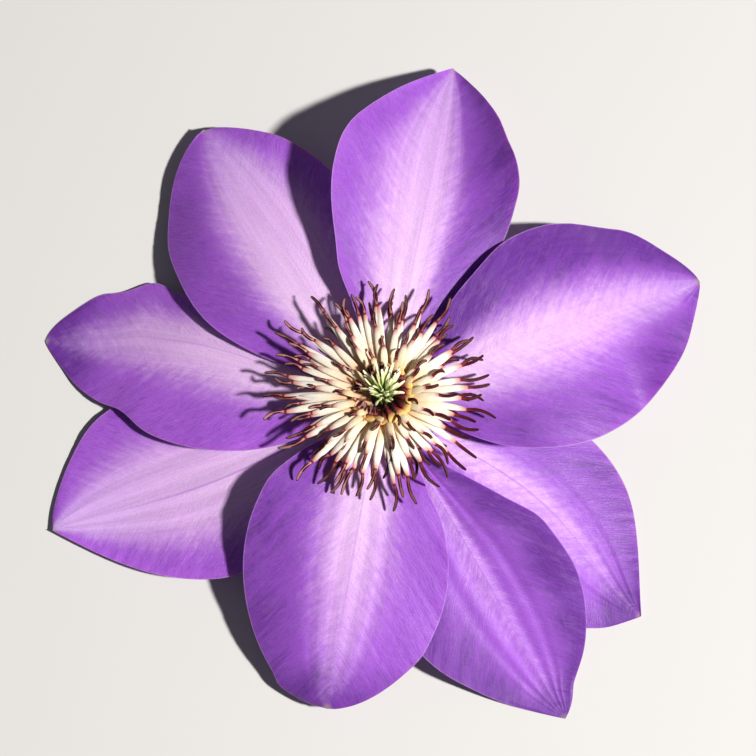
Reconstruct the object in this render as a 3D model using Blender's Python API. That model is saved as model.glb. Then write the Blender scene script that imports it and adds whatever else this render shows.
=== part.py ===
"""A single clematis bloom, picked with a short stub of stalk and lying face up on the tips of its tepals.

Frame: metres, +Z up. The bloom faces +Z and z = 0 is the surface that it lies on. The origin is at the middle
of the bloom's box, on that surface. The tables of tepals and stamens are in millimetres and degrees.
"""

import math
import random
from collections import namedtuple

import bmesh
import bpy
import numpy as np
from mathutils import Matrix, Vector

SCENE = bpy.context.scene.collection
MM = 0.001
GAP = 0.0003              # left between neighbouring pieces

# Stalk and receptacle
STALK_RADIUS = 0.0012
STALK_BOTTOM = 0.0012     # the cut end hangs just clear of the surface
NECK_HEIGHT = 0.0120      # where the stalk starts to swell
HEAD_RADIUS = 0.0040
HEAD_TOP = 0.0205
SWELL = ((0.65, 0.0016), (1.0, 0.0030))   # the swelling: share of the head's radius, height above the neck

# Tepals
CLAW_HEIGHT = 0.0160      # where the lowest tepal leaves the receptacle
CLAW_RADIUS = HEAD_RADIUS + GAP
CLAW_HALF_WIDTH = 0.0015
CLAW_SHARE = 0.06         # share of a tepal's length over which the claw widens
EDGE_TURN = (0.3, 0.8)    # where along its length a tepal's margins turn to their outer heights
BLADE_THICKNESS = 0.0006
CREASE_ROUNDING = 0.0020  # how softly a crease turns at the midrib
CREASE_START = 0.2        # share of the length over which a crease begins
EDGE_WAVE = 0.0005        # how far the margins ruffle
ROWS = 16                 # facets along a tepal
COLUMNS = 8               # facets across it

# Stamens
COLLAR_BOTTOM = HEAD_TOP + GAP
COLLAR_TOP = COLLAR_BOTTOM + 0.0024
COLLAR_RADIUS = 0.0042    # the collar that the filaments grow from
COLLAR_HOLE = 0.0024      # and its hole, for the pistil
COLLAR_BEVEL = 0.0005     # how far its wall leans in at half its height, and its hole's rim stands back
FILAMENT = (0.0014, 0.0006)    # width and depth of the flat straps
FILAMENT_FOOT = (0.0008, 0.0006)
ANTHER = (0.0009, 0.0008)
ANTHER_TIP = (0.0005, 0.0005)
ANTHER_BEND = 0.00012     # how far an anther may bend for each millimetre of its length
TIP_DRAW = (0.88, 1.06)   # shares by which the tips' radius, their height and the anthers' length vary
HEIGHT_DRAW = (0.88, 1.12)
ANTHER_DRAW = (0.85, 1.15)
STRAY = 3.5               # degrees that a stamen's tip may stray to either side
ROOT_STRAY = 2            # and its root
ROOT_UNEVEN = 0.0002      # how much higher a root may stand
WHORL_TURN = 0.4          # how far each whorl is turned from the one before, in steps between its stamens
STAMEN_LEAN = (-0.0012, 0.0011)    # how far the tips of the stamens lean away from the axis, in X and Y
BOSS_SLOPE = 0.09         # how steeply the boss of stamens slopes with the tepals
BOSS_AIM = 25             # the azimuth at which it is highest
BOSS_LEVEL = -0.6         # its height at the axis, as a share of what the slope adds at its rim

# Pistil
COLUMN_RADIUS = COLLAR_HOLE - GAP
COLUMN_TOP = COLLAR_TOP + 0.0010
COLUMN_BEVEL = 0.0006
STYLES = 30
STYLE = (0.0007, 0.0007)  # width and depth
STYLE_TIP = (0.0005, 0.0005)
STYLE_RING = 0.0017       # where the outermost styles stand in the column
STYLE_ROOTS = (0.0010, 0.0016)   # how deep they are rooted in it
STYLE_TURN = 0.0290       # the height up to which the styles stand close together
STYLE_SPREAD = 0.0044     # how far the outermost ones then lean out
STYLE_TOP = 0.0340
STYLE_LEAN = (-0.0002, 0.0020)       # how far the whole tuft leans, in X and Y
STYLE_DROP = 0.0022       # how much lower the outermost ones end
STYLE_UNEVEN = 0.0010     # and how much lower any of them may
LEAN_DRAW = (0.8, 1.1)    # shares by which the lean varies
STYLE_STRAY = 12          # degrees that a style may stray to either side
HOOK = (0.0010, -0.0009)  # the curled tip's reach outwards and upwards
HOOK_STRAY = 50
GOLDEN_ANGLE = 137.5

SEED = 8

# Each tepal is named for where it lies in the bloom as seen from above. Angles turn anticlockwise from +X:
# the claw leaves the receptacle at root, and the tip lies at aim. reach is the tip's distance from the axis.
# level lifts the claw above the lowest one, rise is how far the midrib climbs at first, and shoulder and tip
# pull it to its heights further out. left and right give each side its half width, the share of the length
# where it is widest, and how slender it is below and above there. left_edge and right_edge are how far each
# margin stands above the midrib, below and above the middle. crease gives the slopes to which the left and
# the right half are folded up, and the share of the length from which they are.
Tepal = namedtuple("Tepal", ("name root aim reach level rise shoulder tip "
                             "left right left_edge right_edge crease"))

TEPALS = (
    Tepal("tepal_top", 70, 78.7, 85.2, 2.3, 3.0, 21, 6,
          (22.5, 0.60, 0.52, 0.92), (20.5, 0.59, 0.64, 0.88), (2.5, 6.5), (-4.5, 5.5), (0, 0, 0)),
    Tepal("tepal_high_left", 115, 121.8, 81.2, 1.6, 0.0, 12.5, 4,
          (24.8, 0.55, 0.68, 0.58), (20.2, 0.58, 0.62, 0.65), (-1.5, -5.5), (-3.5, -2.0), (0, 0, 0)),
    Tepal("tepal_left", 160, 167, 82, 0.8, -1.0, 9.5, -4.5,
          (19.2, 0.47, 0.70, 0.80), (17.0, 0.65, 0.62, 0.60), (-0.5, -0.5), (-2.0, -4.0), (0, 0, 0)),
    Tepal("tepal_low_left", 205, 199.3, 81.6, 0.0, -2.5, 1.0, 1.0,
          (24.3, 0.50, 0.62, 0.95), (24.0, 0.60, 0.62, 0.70), (-1.0, 1.0), (-2.0, -2.0), (0, 0, 0)),
    Tepal("tepal_bottom", 250, 259.2, 70.0, 2.3, 2.5, 17, 5,
          (22.4, 0.56, 0.58, 0.56), (25.0, 0.49, 0.60, 0.46), (-1.0, -2.5), (-1.5, -5.5), (0, 0, 0)),
    Tepal("tepal_lower", 292, 300.5, 82, 0.8, 0.0, 14, -6,
          (18.9, 0.62, 1.12, 0.82), (22.2, 0.54, 0.62, 0.98), (-1.0, 0.0), (-2.5, -1.0), (0.24, 0, 0)),
    Tepal("tepal_low_right", 333, 321.5, 75.8, 0.0, -2.0, 4.5, 1.2,
          (24.6, 0.51, 0.62, 0.98), (20.0, 0.60, 0.62, 0.88), (-2.5, -2.0), (-2.0, -1.5), (0, 0, 0)),
    Tepal("tepal_right", 22, 23.7, 81.8, 3.1, 4.0, 22, -7.5,
          (24.9, 0.59, 0.70, 0.66), (27.0, 0.48, 0.62, 0.80), (0.5, -5.0), (-1.0, -3.5), (0, 0.5, 0.64)),
)

# Where a margin bulges or is notched: its side (1 left, -1 right), the place along the tepal, how far it
# stands out of the even outline in millimetres, and the share of the length that it spreads over.
LOBES = {
    "tepal_top": ((1, 0.30, 0.8, 0.06), (1, 0.72, 0.5, 0.08), (-1, 0.78, -0.7, 0.05), (-1, 0.64, 0.4, 0.05)),
    "tepal_high_left": ((1, 0.73, 0.6, 0.07), (1, 0.45, 0.5, 0.12), (-1, 0.86, 0.3, 0.05)),
    "tepal_left": ((1, 0.72, -1.7, 0.06), (-1, 0.72, 2.3, 0.06), (-1, 0.87, 1.2, 0.05), (1, 0.88, 0.5, 0.06)),
    "tepal_low_left": ((-1, 0.80, 0.9, 0.10), (1, 0.50, 0.6, 0.12)),
    "tepal_bottom": ((-1, 0.96, 2.9, 0.03), (-1, 0.27, 0.5, 0.06), (1, 0.24, -0.7, 0.05),
                     (1, 0.78, 0.5, 0.06)),
    "tepal_lower": ((1, 0.47, 0.9, 0.06), (1, 0.93, -1.5, 0.05), (-1, 0.79, -0.3, 0.06)),
    "tepal_low_right": ((1, 0.75, 0.9, 0.12), (-1, 0.95, 1.0, 0.04)),
    "tepal_right": ((1, 0.87, 1.5, 0.06), (1, 0.36, -0.6, 0.07), (-1, 0.84, 0.8, 0.10)),
}

# The whorls of stamens, outermost first: how many, where they leave the collar (radius and height above its
# foot), how steeply they rise (degrees), how far that rise carries before they bend, the radius and height
# above the foot at which they end, and how long their anthers are. The innermost ones are young, and bend
# inwards.
Whorl = namedtuple("Whorl", "count root_radius root_height rise belly tip_radius tip_height anther")

WHORLS = (
    Whorl(34, 3.8, 0.5, 56, 8.4, 26.4, 3.0, 6.8),
    Whorl(30, 3.6, 0.9, 57, 8.2, 23.8, 3.8, 5.6),
    Whorl(18, 3.4, 1.2, 59, 8.1, 18.0, 5.0, 4.2),
    Whorl(13, 3.2, 1.5, 61, 7.9, 14.0, 6.2, 3.2),
    Whorl(9, 3.1, 1.8, 62, 7.4, 10.3, 7.0, 2.6),
    Whorl(22, 3.0, 2.0, 28, 8.6, 3.9, 6.0, 3.2),
)

# Colours: base colour, roughness
VIOLET = ((0.36, 0.14, 0.66), 0.55)
STALK_GREEN = ((0.16, 0.26, 0.07), 0.6)
CREAM = ((0.86, 0.76, 0.55), 0.6)
STYLE_GREEN = ((0.60, 0.70, 0.30), 0.5)


def polar(radius, degrees):
    """A point of the XY plane."""
    angle = math.radians(degrees)
    return np.array((radius * math.cos(angle), radius * math.sin(angle)))


def bezier(points, t):
    """A Bezier curve of any degree through its end points, at t from 0 to 1."""
    points = list(points)
    while len(points) > 1:
        points = [start * (1 - t) + end * t for start, end in zip(points, points[1:])]
    return points[0]


def smoothstep(low, high, value):
    """0 below low, 1 above high, and a smooth rise between them."""
    share = min(max((value - low) / (high - low), 0.0), 1.0)
    return share * share * (3 - 2 * share)


def half_width(tepal, u, v):
    """How far the blade reaches from its midrib at share u of its length, on the left if v > 0."""
    full, widest, below, above = tepal.left if v > 0 else tepal.right
    swell = max(math.sin(math.pi * u ** (math.log(0.5) / math.log(widest))), 0.0)
    blade = full * swell ** (below * (1 - u) + above * u) * (1 - math.exp(-u / CLAW_SHARE))
    for side, place, bulge, spread in LOBES[tepal.name]:
        if side * v > 0:
            blade += bulge * min(swell * 3, 1) * math.exp(-((u - place) / spread) ** 2)
    return max(blade * MM, CLAW_HALF_WIDTH * (1 - u))


def blade_point(tepal, u, v):
    """A point of the blade's upper face: u from claw to tip, v from -1 on its right edge to 1 on its left."""
    claw, tip = polar(CLAW_RADIUS, tepal.root), polar(tepal.reach * MM, tepal.aim)
    along = tip - claw
    leftward = np.array((-along[1], along[0])) / np.linalg.norm(along)
    reach = half_width(tepal, u, v)
    offset = v * reach
    claw_z = CLAW_HEIGHT + tepal.level * MM
    z = bezier((claw_z, claw_z + tepal.rise * MM, tepal.shoulder * MM, tepal.tip * MM), u)
    (full, *_), (low, high) = (tepal.left, tepal.left_edge) if v > 0 else (tepal.right, tepal.right_edge)
    z += (low + (high - low) * smoothstep(*EDGE_TURN, u)) * reach / full * v * v
    left_slope, right_slope, start = tepal.crease
    folded = math.hypot(offset, CREASE_ROUNDING) + abs(offset) - CREASE_ROUNDING
    z += (left_slope if v > 0 else right_slope) * folded / 2 * smoothstep(start, start + CREASE_START, u)
    z += EDGE_WAVE * abs(v) ** 3 * math.sin(math.pi * (4 * u + 0.6 * v)) * u
    return np.array((*(claw + u * along + leftward * offset), max(z, BLADE_THICKNESS)))


def add_object(name, bm, collection):
    """Turns a bmesh into a named object in a collection."""
    mesh = bpy.data.meshes.new(name)
    bm.to_mesh(mesh)
    bm.free()
    thing = bpy.data.objects.new(name, mesh)
    collection.objects.link(thing)
    return thing


def paint(thing, look):
    """Gives an object its own material."""
    colour, roughness = look
    material = bpy.data.materials.new(thing.name)
    material.use_nodes = True
    shader = material.node_tree.nodes["Principled BSDF"]
    shader.inputs["Base Color"].default_value = (*colour, 1.0)
    shader.inputs["Roughness"].default_value = roughness
    shader.inputs["Metallic"].default_value = 0.0
    thing.data.materials.append(material)
    return thing


def row_share(i):
    """Share of a tepal's length at row i. The rows lie closer together at the claw and at the tip."""
    even = i / ROWS
    return (even + (1 - math.cos(math.pi * even)) / 2) / 2


def make_tepal(tepal):
    """A thin waved blade, its faces cut into triangles alike, and flat where it meets the surface."""
    bm = bmesh.new()
    rows = [[bm.verts.new(blade_point(tepal, row_share(i), 2 * j / COLUMNS - 1)) for j in range(COLUMNS + 1)]
            for i in range(ROWS)]
    for lower, upper in zip(rows, rows[1:]):
        for j in range(COLUMNS):
            bm.faces.new((lower[j], upper[j + 1], lower[j + 1]))
            bm.faces.new((lower[j], upper[j], upper[j + 1]))
    tip = bm.verts.new(blade_point(tepal, 1.0, 0.0))
    for right, left in zip(rows[-1], rows[-1][1:]):
        bm.faces.new((right, tip, left))
    bm.normal_update()
    bmesh.ops.solidify(bm, geom=bm.faces[:], thickness=BLADE_THICKNESS)
    for vert in bm.verts:
        vert.co.z = max(vert.co.z, 0.0)
    bmesh.ops.recalc_face_normals(bm, faces=bm.faces)
    return paint(add_object(tepal.name, bm, SCENE), VIOLET)


def add_turned(bm, profile, sides=24, closed=False):
    """A turned body round the Z axis from (radius, height) points: capped at both ends, or a closed ring."""
    rings = []
    for radius, height in profile:
        lifted = Matrix.Translation((0, 0, height))
        rings.append(bmesh.ops.create_circle(bm, segments=sides, radius=radius, matrix=lifted)["verts"])
    pairs = list(zip(rings, rings[1:]))
    if closed:
        pairs.append((rings[-1], rings[0]))
    else:
        bm.faces.new(rings[0])
        bm.faces.new(rings[-1])
    for low, high in pairs:
        for k in range(sides):
            bm.faces.new((low[k], low[(k + 1) % sides], high[(k + 1) % sides], high[k]))
    bmesh.ops.recalc_face_normals(bm, faces=bm.faces)


def add_strand(bm, azimuth, path, sizes):
    """A three-sided strand along a path that leaves at an azimuth. sizes holds its widths and depths."""
    across = Vector((*polar(1.0, azimuth + 90), 0.0))
    rings = []
    for k, spot in enumerate(path):
        ahead = (path[min(k + 1, len(path) - 1)] - path[max(k - 1, 0)]).normalized()
        up = ahead.cross(across).normalized()
        side = up.cross(ahead)
        width, depth = sizes[k]
        corners = (-side * width / 2 - up * depth / 3, side * width / 2 - up * depth / 3, up * depth * 2 / 3)
        rings.append([bm.verts.new(spot + corner) for corner in corners])
    for low, high in zip(rings, rings[1:]):
        for k in range(3):
            bm.faces.new((low[k], low[(k + 1) % 3], high[(k + 1) % 3], high[k]))
    bm.faces.new(rings[0])
    bm.faces.new(rings[-1])
    bmesh.ops.triangulate(bm, faces=bm.faces)
    bmesh.ops.recalc_face_normals(bm, faces=bm.faces)


def stamen(whorl, azimuth, draw):
    """One stamen's azimuth, path and sizes: a flat filament that leans out, and a slim bent anther."""
    root_height = COLLAR_BOTTOM + whorl.root_height * MM + draw.uniform(0, ROOT_UNEVEN)
    root = Vector((*polar(whorl.root_radius * MM, azimuth), root_height))
    tip_radius = whorl.tip_radius * MM * draw.uniform(*TIP_DRAW)
    tip_height = COLLAR_BOTTOM + whorl.tip_height * MM * draw.uniform(*HEIGHT_DRAW)
    tip_height += BOSS_SLOPE * (math.cos(math.radians(azimuth - BOSS_AIM)) + BOSS_LEVEL) * tip_radius
    tip_place = polar(tip_radius, azimuth + draw.uniform(-STRAY, STRAY)) + STAMEN_LEAN
    tip = Vector((*tip_place, tip_height))
    rise = math.radians(whorl.rise)
    turn = root + Vector((*polar(math.cos(rise), azimuth), math.sin(rise))) * whorl.belly * MM
    curve = (root, turn, tip)
    joint = 1 - whorl.anther * MM / (2 * (tip - turn).length) * draw.uniform(*ANTHER_DRAW)
    most = ANTHER_BEND * whorl.anther
    bend = Vector((*polar(draw.uniform(-most, most), azimuth + 90), draw.uniform(0, most)))
    path = [root, bezier(curve, joint / 2), bezier(curve, joint), bezier(curve, (joint + 1) / 2) + bend, tip]
    return azimuth, path, [FILAMENT_FOOT, FILAMENT, FILAMENT, ANTHER, ANTHER_TIP]


def style(k, draw):
    """One style's azimuth, path and sizes. The styles are spread like a sunflower's seeds."""
    share = math.sqrt((k + 0.5) / STYLES)
    azimuth = GOLDEN_ANGLE * k
    close = STYLE_RING * share
    root = Vector((*polar(close, azimuth), COLUMN_TOP - draw.uniform(*STYLE_ROOTS)))
    turn = Vector((*polar(close, azimuth), STYLE_TURN))
    lean = STYLE_SPREAD * share * draw.uniform(*LEAN_DRAW)
    height = STYLE_TOP - STYLE_DROP * share**2 - draw.uniform(0.0, STYLE_UNEVEN)
    top_place = polar(lean, azimuth + draw.uniform(-STYLE_STRAY, STYLE_STRAY)) + STYLE_LEAN
    top = Vector((*top_place, height))
    hook = top + Vector((*polar(HOOK[0], azimuth + draw.uniform(-HOOK_STRAY, HOOK_STRAY)), HOOK[1] * share))
    return azimuth, [root, turn, top, hook], [STYLE, STYLE, STYLE, STYLE_TIP]


def keep_largest_shell(mesh):
    """Drops loose scraps and fills sealed hollows: only the shell with the most points stays."""
    bm = bmesh.new()
    bm.from_mesh(mesh)
    waiting = set(bm.verts)
    shells = []
    while waiting:
        shell, front = set(), [waiting.pop()]
        while front:
            vert = front.pop()
            shell.add(vert)
            near = {edge.other_vert(vert) for edge in vert.link_edges} & waiting
            waiting -= near
            front.extend(near)
        shells.append(shell)
    shells.sort(key=len)
    for shell in shells[:-1]:
        bmesh.ops.delete(bm, geom=list(shell), context="VERTS")
    bm.to_mesh(mesh)
    bm.free()


def grow(name, body, strands, look):
    """Joins the strands to the body that they grow from, by one union."""
    whole = add_object(name, body, SCENE)
    group = bpy.data.collections.new(name)
    SCENE.children.link(group)
    for k, strand in enumerate(strands):
        bm = bmesh.new()
        add_strand(bm, *strand)
        add_object(f"{name}_{k}", bm, group)
    union = whole.modifiers.new("union", "BOOLEAN")
    union.operation = "UNION"
    union.operand_type = "COLLECTION"
    union.collection = group
    union.solver = "MANIFOLD"
    bpy.context.view_layer.objects.active = whole
    bpy.ops.object.modifier_apply(modifier=union.name)
    for joined in list(group.objects):
        bpy.data.objects.remove(joined)
    bpy.data.collections.remove(group)
    keep_largest_shell(whole.data)
    return paint(whole, look)


def make_stalk():
    """The cut stub of stalk, swelling into the receptacle that carries the tepals, stamens and pistil."""
    bm = bmesh.new()
    swelling = [(HEAD_RADIUS * share, NECK_HEIGHT + height) for share, height in SWELL]
    stub = [(STALK_RADIUS, STALK_BOTTOM), (STALK_RADIUS, NECK_HEIGHT)]
    add_turned(bm, stub + swelling + [(HEAD_RADIUS, HEAD_TOP)])
    return paint(add_object("stalk", bm, SCENE), STALK_GREEN)


def make_stamens():
    """The collar and the whorls of stamens round it."""
    draw = random.Random(SEED)
    collar = bmesh.new()
    add_turned(collar, ((COLLAR_HOLE, COLLAR_BOTTOM), (COLLAR_RADIUS, COLLAR_BOTTOM),
                        (COLLAR_RADIUS - COLLAR_BEVEL, (COLLAR_BOTTOM + COLLAR_TOP) / 2),
                        (COLLAR_HOLE + COLLAR_BEVEL, COLLAR_TOP), (COLLAR_HOLE, COLLAR_TOP)), closed=True)
    strands = []
    for row, whorl in enumerate(WHORLS):
        for k in range(whorl.count):
            azimuth = 360 * (k + row * WHORL_TURN) / whorl.count + draw.uniform(-ROOT_STRAY, ROOT_STRAY)
            strands.append(stamen(whorl, azimuth, draw))
    return grow("stamens", collar, strands, CREAM)


def make_pistil():
    """The pistil's column, which stands on the receptacle inside the collar, and its tuft of styles."""
    draw = random.Random(SEED)
    column = bmesh.new()
    add_turned(column, ((COLUMN_RADIUS, COLLAR_BOTTOM), (COLUMN_RADIUS, COLUMN_TOP - COLUMN_BEVEL),
                        (COLUMN_RADIUS - COLUMN_BEVEL, COLUMN_TOP)))
    return grow("pistil", column, [style(k, draw) for k in range(STYLES)], STYLE_GREEN)


def centre(things):
    """Moves the whole bloom so that the middle of its box is over the origin."""
    corners = np.array([vert.co for thing in things for vert in thing.data.vertices])
    middle = (corners.min(axis=0) + corners.max(axis=0)) / 2
    for thing in things:
        thing.location = (-middle[0], -middle[1], 0.0)


for old in list(bpy.data.objects):
    bpy.data.objects.remove(old)
bloom = [make_tepal(tepal) for tepal in TEPALS]
bloom += [make_stalk(), make_stamens(), make_pistil()]
centre(bloom)
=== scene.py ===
# %% [markdown]
# # A clematis bloom, dressed for its picture
#
# The flower is a large garden clematis, picked with a stub of stalk and lying face up. Clematis have no true
# petals: the eight coloured leaves are tepals. Inside them stand well over a hundred stamens, each a flat
# cream strap that ends in a thin maroon anther, and in the middle curls a tuft of pale green styles.
#
# The bloom's plain solids are loaded first and are never moved. Each piece made here takes the place of one
# solid and keeps its form, so it goes where that solid is.

import math
import random
from collections import namedtuple

import bpy
from mathutils import Matrix, Vector, noise


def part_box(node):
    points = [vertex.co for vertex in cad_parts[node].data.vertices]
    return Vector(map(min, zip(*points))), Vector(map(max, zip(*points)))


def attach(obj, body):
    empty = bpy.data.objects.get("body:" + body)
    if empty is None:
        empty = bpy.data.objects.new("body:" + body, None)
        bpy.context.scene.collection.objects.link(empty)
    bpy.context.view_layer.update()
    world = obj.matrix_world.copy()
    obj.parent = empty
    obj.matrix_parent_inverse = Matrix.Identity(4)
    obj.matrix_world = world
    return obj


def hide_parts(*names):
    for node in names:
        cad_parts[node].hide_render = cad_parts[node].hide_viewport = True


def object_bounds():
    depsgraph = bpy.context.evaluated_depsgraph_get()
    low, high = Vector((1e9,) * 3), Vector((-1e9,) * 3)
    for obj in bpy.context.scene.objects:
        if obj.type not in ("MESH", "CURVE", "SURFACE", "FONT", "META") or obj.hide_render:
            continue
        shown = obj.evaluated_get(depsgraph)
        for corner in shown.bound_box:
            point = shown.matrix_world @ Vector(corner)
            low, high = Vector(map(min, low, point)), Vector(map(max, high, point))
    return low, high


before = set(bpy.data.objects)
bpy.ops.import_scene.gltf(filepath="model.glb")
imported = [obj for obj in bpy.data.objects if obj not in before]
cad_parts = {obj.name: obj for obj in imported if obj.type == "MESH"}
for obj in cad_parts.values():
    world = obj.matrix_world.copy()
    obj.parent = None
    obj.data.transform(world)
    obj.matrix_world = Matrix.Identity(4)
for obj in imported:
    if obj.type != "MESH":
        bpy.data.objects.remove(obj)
cad_low, cad_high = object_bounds()
MM = 0.001
print("solids:", ", ".join(sorted(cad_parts)))
print("size in mm:", [round(side / MM, 1) for side in cad_high - cad_low])

# %% [markdown]
# ## Where the bloom's axis stands
#
# The stalk is turned round the bloom's axis, so the middle of its box gives the axis. The heights that the
# pieces share are measured from the surface that the bloom lies on.

# %% The axis and the shared heights
stalk_low, stalk_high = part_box("stalk")
AXIS = Vector(((stalk_low.x + stalk_high.x) / 2, (stalk_low.y + stalk_high.y) / 2, 0))
HEAD_RADIUS = (stalk_high.x - stalk_low.x) / 2
HEAD_TOP = stalk_high.z
CLAW_HEIGHT = 16.0 * MM            # where the lowest tepal leaves the receptacle
print("axis in mm:", [round(part / MM, 2) for part in AXIS.xy])
print("receptacle top in mm:", round(HEAD_TOP / MM, 2))


# %% [markdown]
# ## Small helpers
#
# Operators act on whatever is selected, and the loaded solids arrive selected, so everything is deselected
# before a new primitive is added. Points round the axis are easiest to state as a radius and an angle.

# %% Helpers for places and selections
def polar(radius, degrees, height=0.0):
    """A point at a radius and an angle, anticlockwise from +X."""
    angle = math.radians(degrees)
    return Vector((radius * math.cos(angle), radius * math.sin(angle), height))


def bezier(points, t):
    """A Bezier curve of any degree through its end points, at t from 0 to 1."""
    points = list(points)
    while len(points) > 1:
        points = [start * (1 - t) + end * t for start, end in zip(points, points[1:])]
    return points[0]


def smoothstep(low, high, value):
    """0 below low, 1 above high, and a smooth rise between them."""
    share = min(max((value - low) / (high - low), 0.0), 1.0)
    return share * share * (3 - 2 * share)


def deselect():
    """Leaves nothing selected."""
    bpy.ops.object.select_all(action="DESELECT")


def settle(piece, node):
    """Hands a finished piece to the frame, in place of a plain solid."""
    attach(piece, "root")
    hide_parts(node)
    print(f"{piece.name}: {len(piece.data.polygons)} faces")


# %% [markdown]
# ## The camera
#
# The camera looks down on the bloom, 12 degrees off the vertical, from 0.7 m away. A long lens keeps the
# tepals in proportion. The aim is a little above and to the left of the bloom's heart, so that the bloom
# sits in the frame.

# %% Camera
TILT = math.radians(12)
DISTANCE = 0.70
FIELD = 173.65 * MM                # width of the view at that distance
AIM = Vector((-1.38, 5.97)) * MM   # from the heart, rightwards and upwards in the view

heart = AXIS + Vector((0, 0, CLAW_HEIGHT))
rightward = Vector((1, 0, 0))
upward = Vector((0, math.cos(TILT), math.sin(TILT)))
forward = Vector((0, math.sin(TILT), -math.cos(TILT)))
target = heart + rightward * AIM.x + upward * AIM.y
bpy.ops.object.camera_add(location=target - forward * DISTANCE, rotation=(TILT, 0, 0))
camera = bpy.context.object
camera.data.lens = camera.data.sensor_width * DISTANCE / FIELD
bpy.context.scene.camera = camera
print("lens:", round(camera.data.lens, 1), "mm")

# %% [markdown]
# ## Floor and light
#
# A plain pale floor and one studio light keep the eye on the bloom. The softbox is small and stands to the
# right, so the anthers and the overlapping tepals throw clear shadows to the left. The pale surroundings
# fill them.

# %% Floor
FLOOR_SIZE = 4.0
FLOOR_COLOUR = (0.66, 0.65, 0.63)
FLOOR_ROUGHNESS = 0.8

deselect()
bpy.ops.mesh.primitive_plane_add(size=FLOOR_SIZE)
floor = bpy.context.object
floor.name = "floor"
floor_paint = bpy.data.materials.new("floor paint")
floor_paint.use_nodes = True
paint = floor_paint.node_tree.nodes["Principled BSDF"]
paint.inputs["Base Color"].default_value = (*FLOOR_COLOUR, 1)
paint.inputs["Roughness"].default_value = FLOOR_ROUGHNESS
floor.data.materials.append(floor_paint)
print("floor:", FLOOR_SIZE, "m square")

# %% Softbox and surroundings
SOFTBOX_AZIMUTH = -18
SOFTBOX_HEIGHT = 50                # degrees above the surface
SOFTBOX_DISTANCE = 1.8
SOFTBOX_SIZE = 0.12
SOFTBOX_POWER = 51
SOFTBOX_COLOUR = (1.0, 0.98, 0.95)
SKY_COLOUR = (0.84, 0.82, 1.0)
SKY_STRENGTH = 0.10

level = SOFTBOX_DISTANCE * math.cos(math.radians(SOFTBOX_HEIGHT))
climb = SOFTBOX_DISTANCE * math.sin(math.radians(SOFTBOX_HEIGHT))
softbox_place = heart + polar(level, SOFTBOX_AZIMUTH, climb)
softbox_turn = (softbox_place - heart).to_track_quat("Z", "Y").to_euler()
bpy.ops.object.light_add(type="AREA", location=softbox_place, rotation=softbox_turn)
softbox = bpy.context.object
softbox.name = "softbox"
softbox.data.size = SOFTBOX_SIZE
softbox.data.energy = SOFTBOX_POWER
softbox.data.color = SOFTBOX_COLOUR

surroundings = bpy.data.worlds.new("surroundings")
surroundings.use_nodes = True
sky = surroundings.node_tree.nodes["Background"]
sky.inputs["Color"].default_value = (*SKY_COLOUR, 1)
sky.inputs["Strength"].default_value = SKY_STRENGTH
bpy.context.scene.world = surroundings
bpy.context.scene.view_settings.view_transform = "Standard"
print("softbox at", [round(part, 2) for part in softbox_place])


# %% [markdown]
# ## Tools for materials
#
# Every finish is a small network of nodes. One helper adds a node, sets it and links it in a single call,
# and a few more name the steps that come up again and again: mixing two colours, a smooth threshold, and
# sums.

# %% Helpers for nodes
def add_node(tree, kind, inputs=(), **settings):
    """A new node with its settings made, and each of its inputs linked to a socket or set to a value."""
    made = tree.nodes.new("ShaderNode" + kind)
    for name, value in settings.items():
        setattr(made, name, value)
    for name, value in dict(inputs).items():
        if isinstance(value, bpy.types.NodeSocket):
            tree.links.new(value, made.inputs[name])
        else:
            made.inputs[name].default_value = value
    return made


def math_node(tree, operation, *values, clamp=False):
    """A sum, product or other step between numbers."""
    return add_node(tree, "Math", dict(enumerate(values)), operation=operation, use_clamp=clamp).outputs[0]


def threshold(tree, value, low, high, start=0.0, end=1.0):
    """Goes smoothly from start to end while value goes from low to high."""
    inputs = {"Value": value, "From Min": low, "From Max": high, "To Min": start, "To Max": end}
    return add_node(tree, "MapRange", inputs, interpolation_type="SMOOTHSTEP").outputs["Result"]


def mix_colour(tree, share, first, second, how="MIX"):
    """Mixes two colours. Sockets 0, 6 and 7 are the share and the two colours."""
    first, second = ((*c, 1) if isinstance(c, tuple) else c for c in (first, second))
    return add_node(tree, "Mix", {0: share, 6: first, 7: second}, data_type="RGBA", blend_type=how).outputs[2]


def tint(tree, colour, tone):
    """Makes a colour darker or lighter by a factor that varies over the surface."""
    grey = add_node(tree, "CombineXYZ", {0: tone, 1: tone, 2: tone}).outputs[0]
    return mix_colour(tree, 1.0, colour, grey, "MULTIPLY")


def add_bump(tree, shader, height, strength, distance):
    """Roughens a shader's surface by a height."""
    bump = add_node(tree, "Bump", {"Height": height, "Strength": strength, "Distance": distance})
    tree.links.new(bump.outputs[0], shader.inputs["Normal"])


def colour_ramp(tree, value, stops):
    """A run of colours along a value: each stop is a place from 0 to 1 and a colour."""
    made = add_node(tree, "ValToRGB", {"Fac": value})
    elements = made.color_ramp.elements
    while len(elements) < len(stops):
        elements.new(0.5)
    for element, (place, colour) in zip(elements, stops):
        element.position = place
        element.color = (*colour, 1)
    return made.outputs["Color"]


def read(tree, name, output="Fac"):
    """Reads an attribute that a piece carries on its points."""
    return add_node(tree, "Attribute", attribute_name=name).outputs[output]


def new_material(name, roughness):
    """A material, its node tree and its shader."""
    material = bpy.data.materials.new(name)
    material.use_nodes = True
    shader = material.node_tree.nodes["Principled BSDF"]
    shader.inputs["Roughness"].default_value = roughness
    return material, material.node_tree, shader


def count_nodes(name, tree):
    """Says how large a finish's network is."""
    print(f"{name}: {len(tree.nodes)} nodes")


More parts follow.
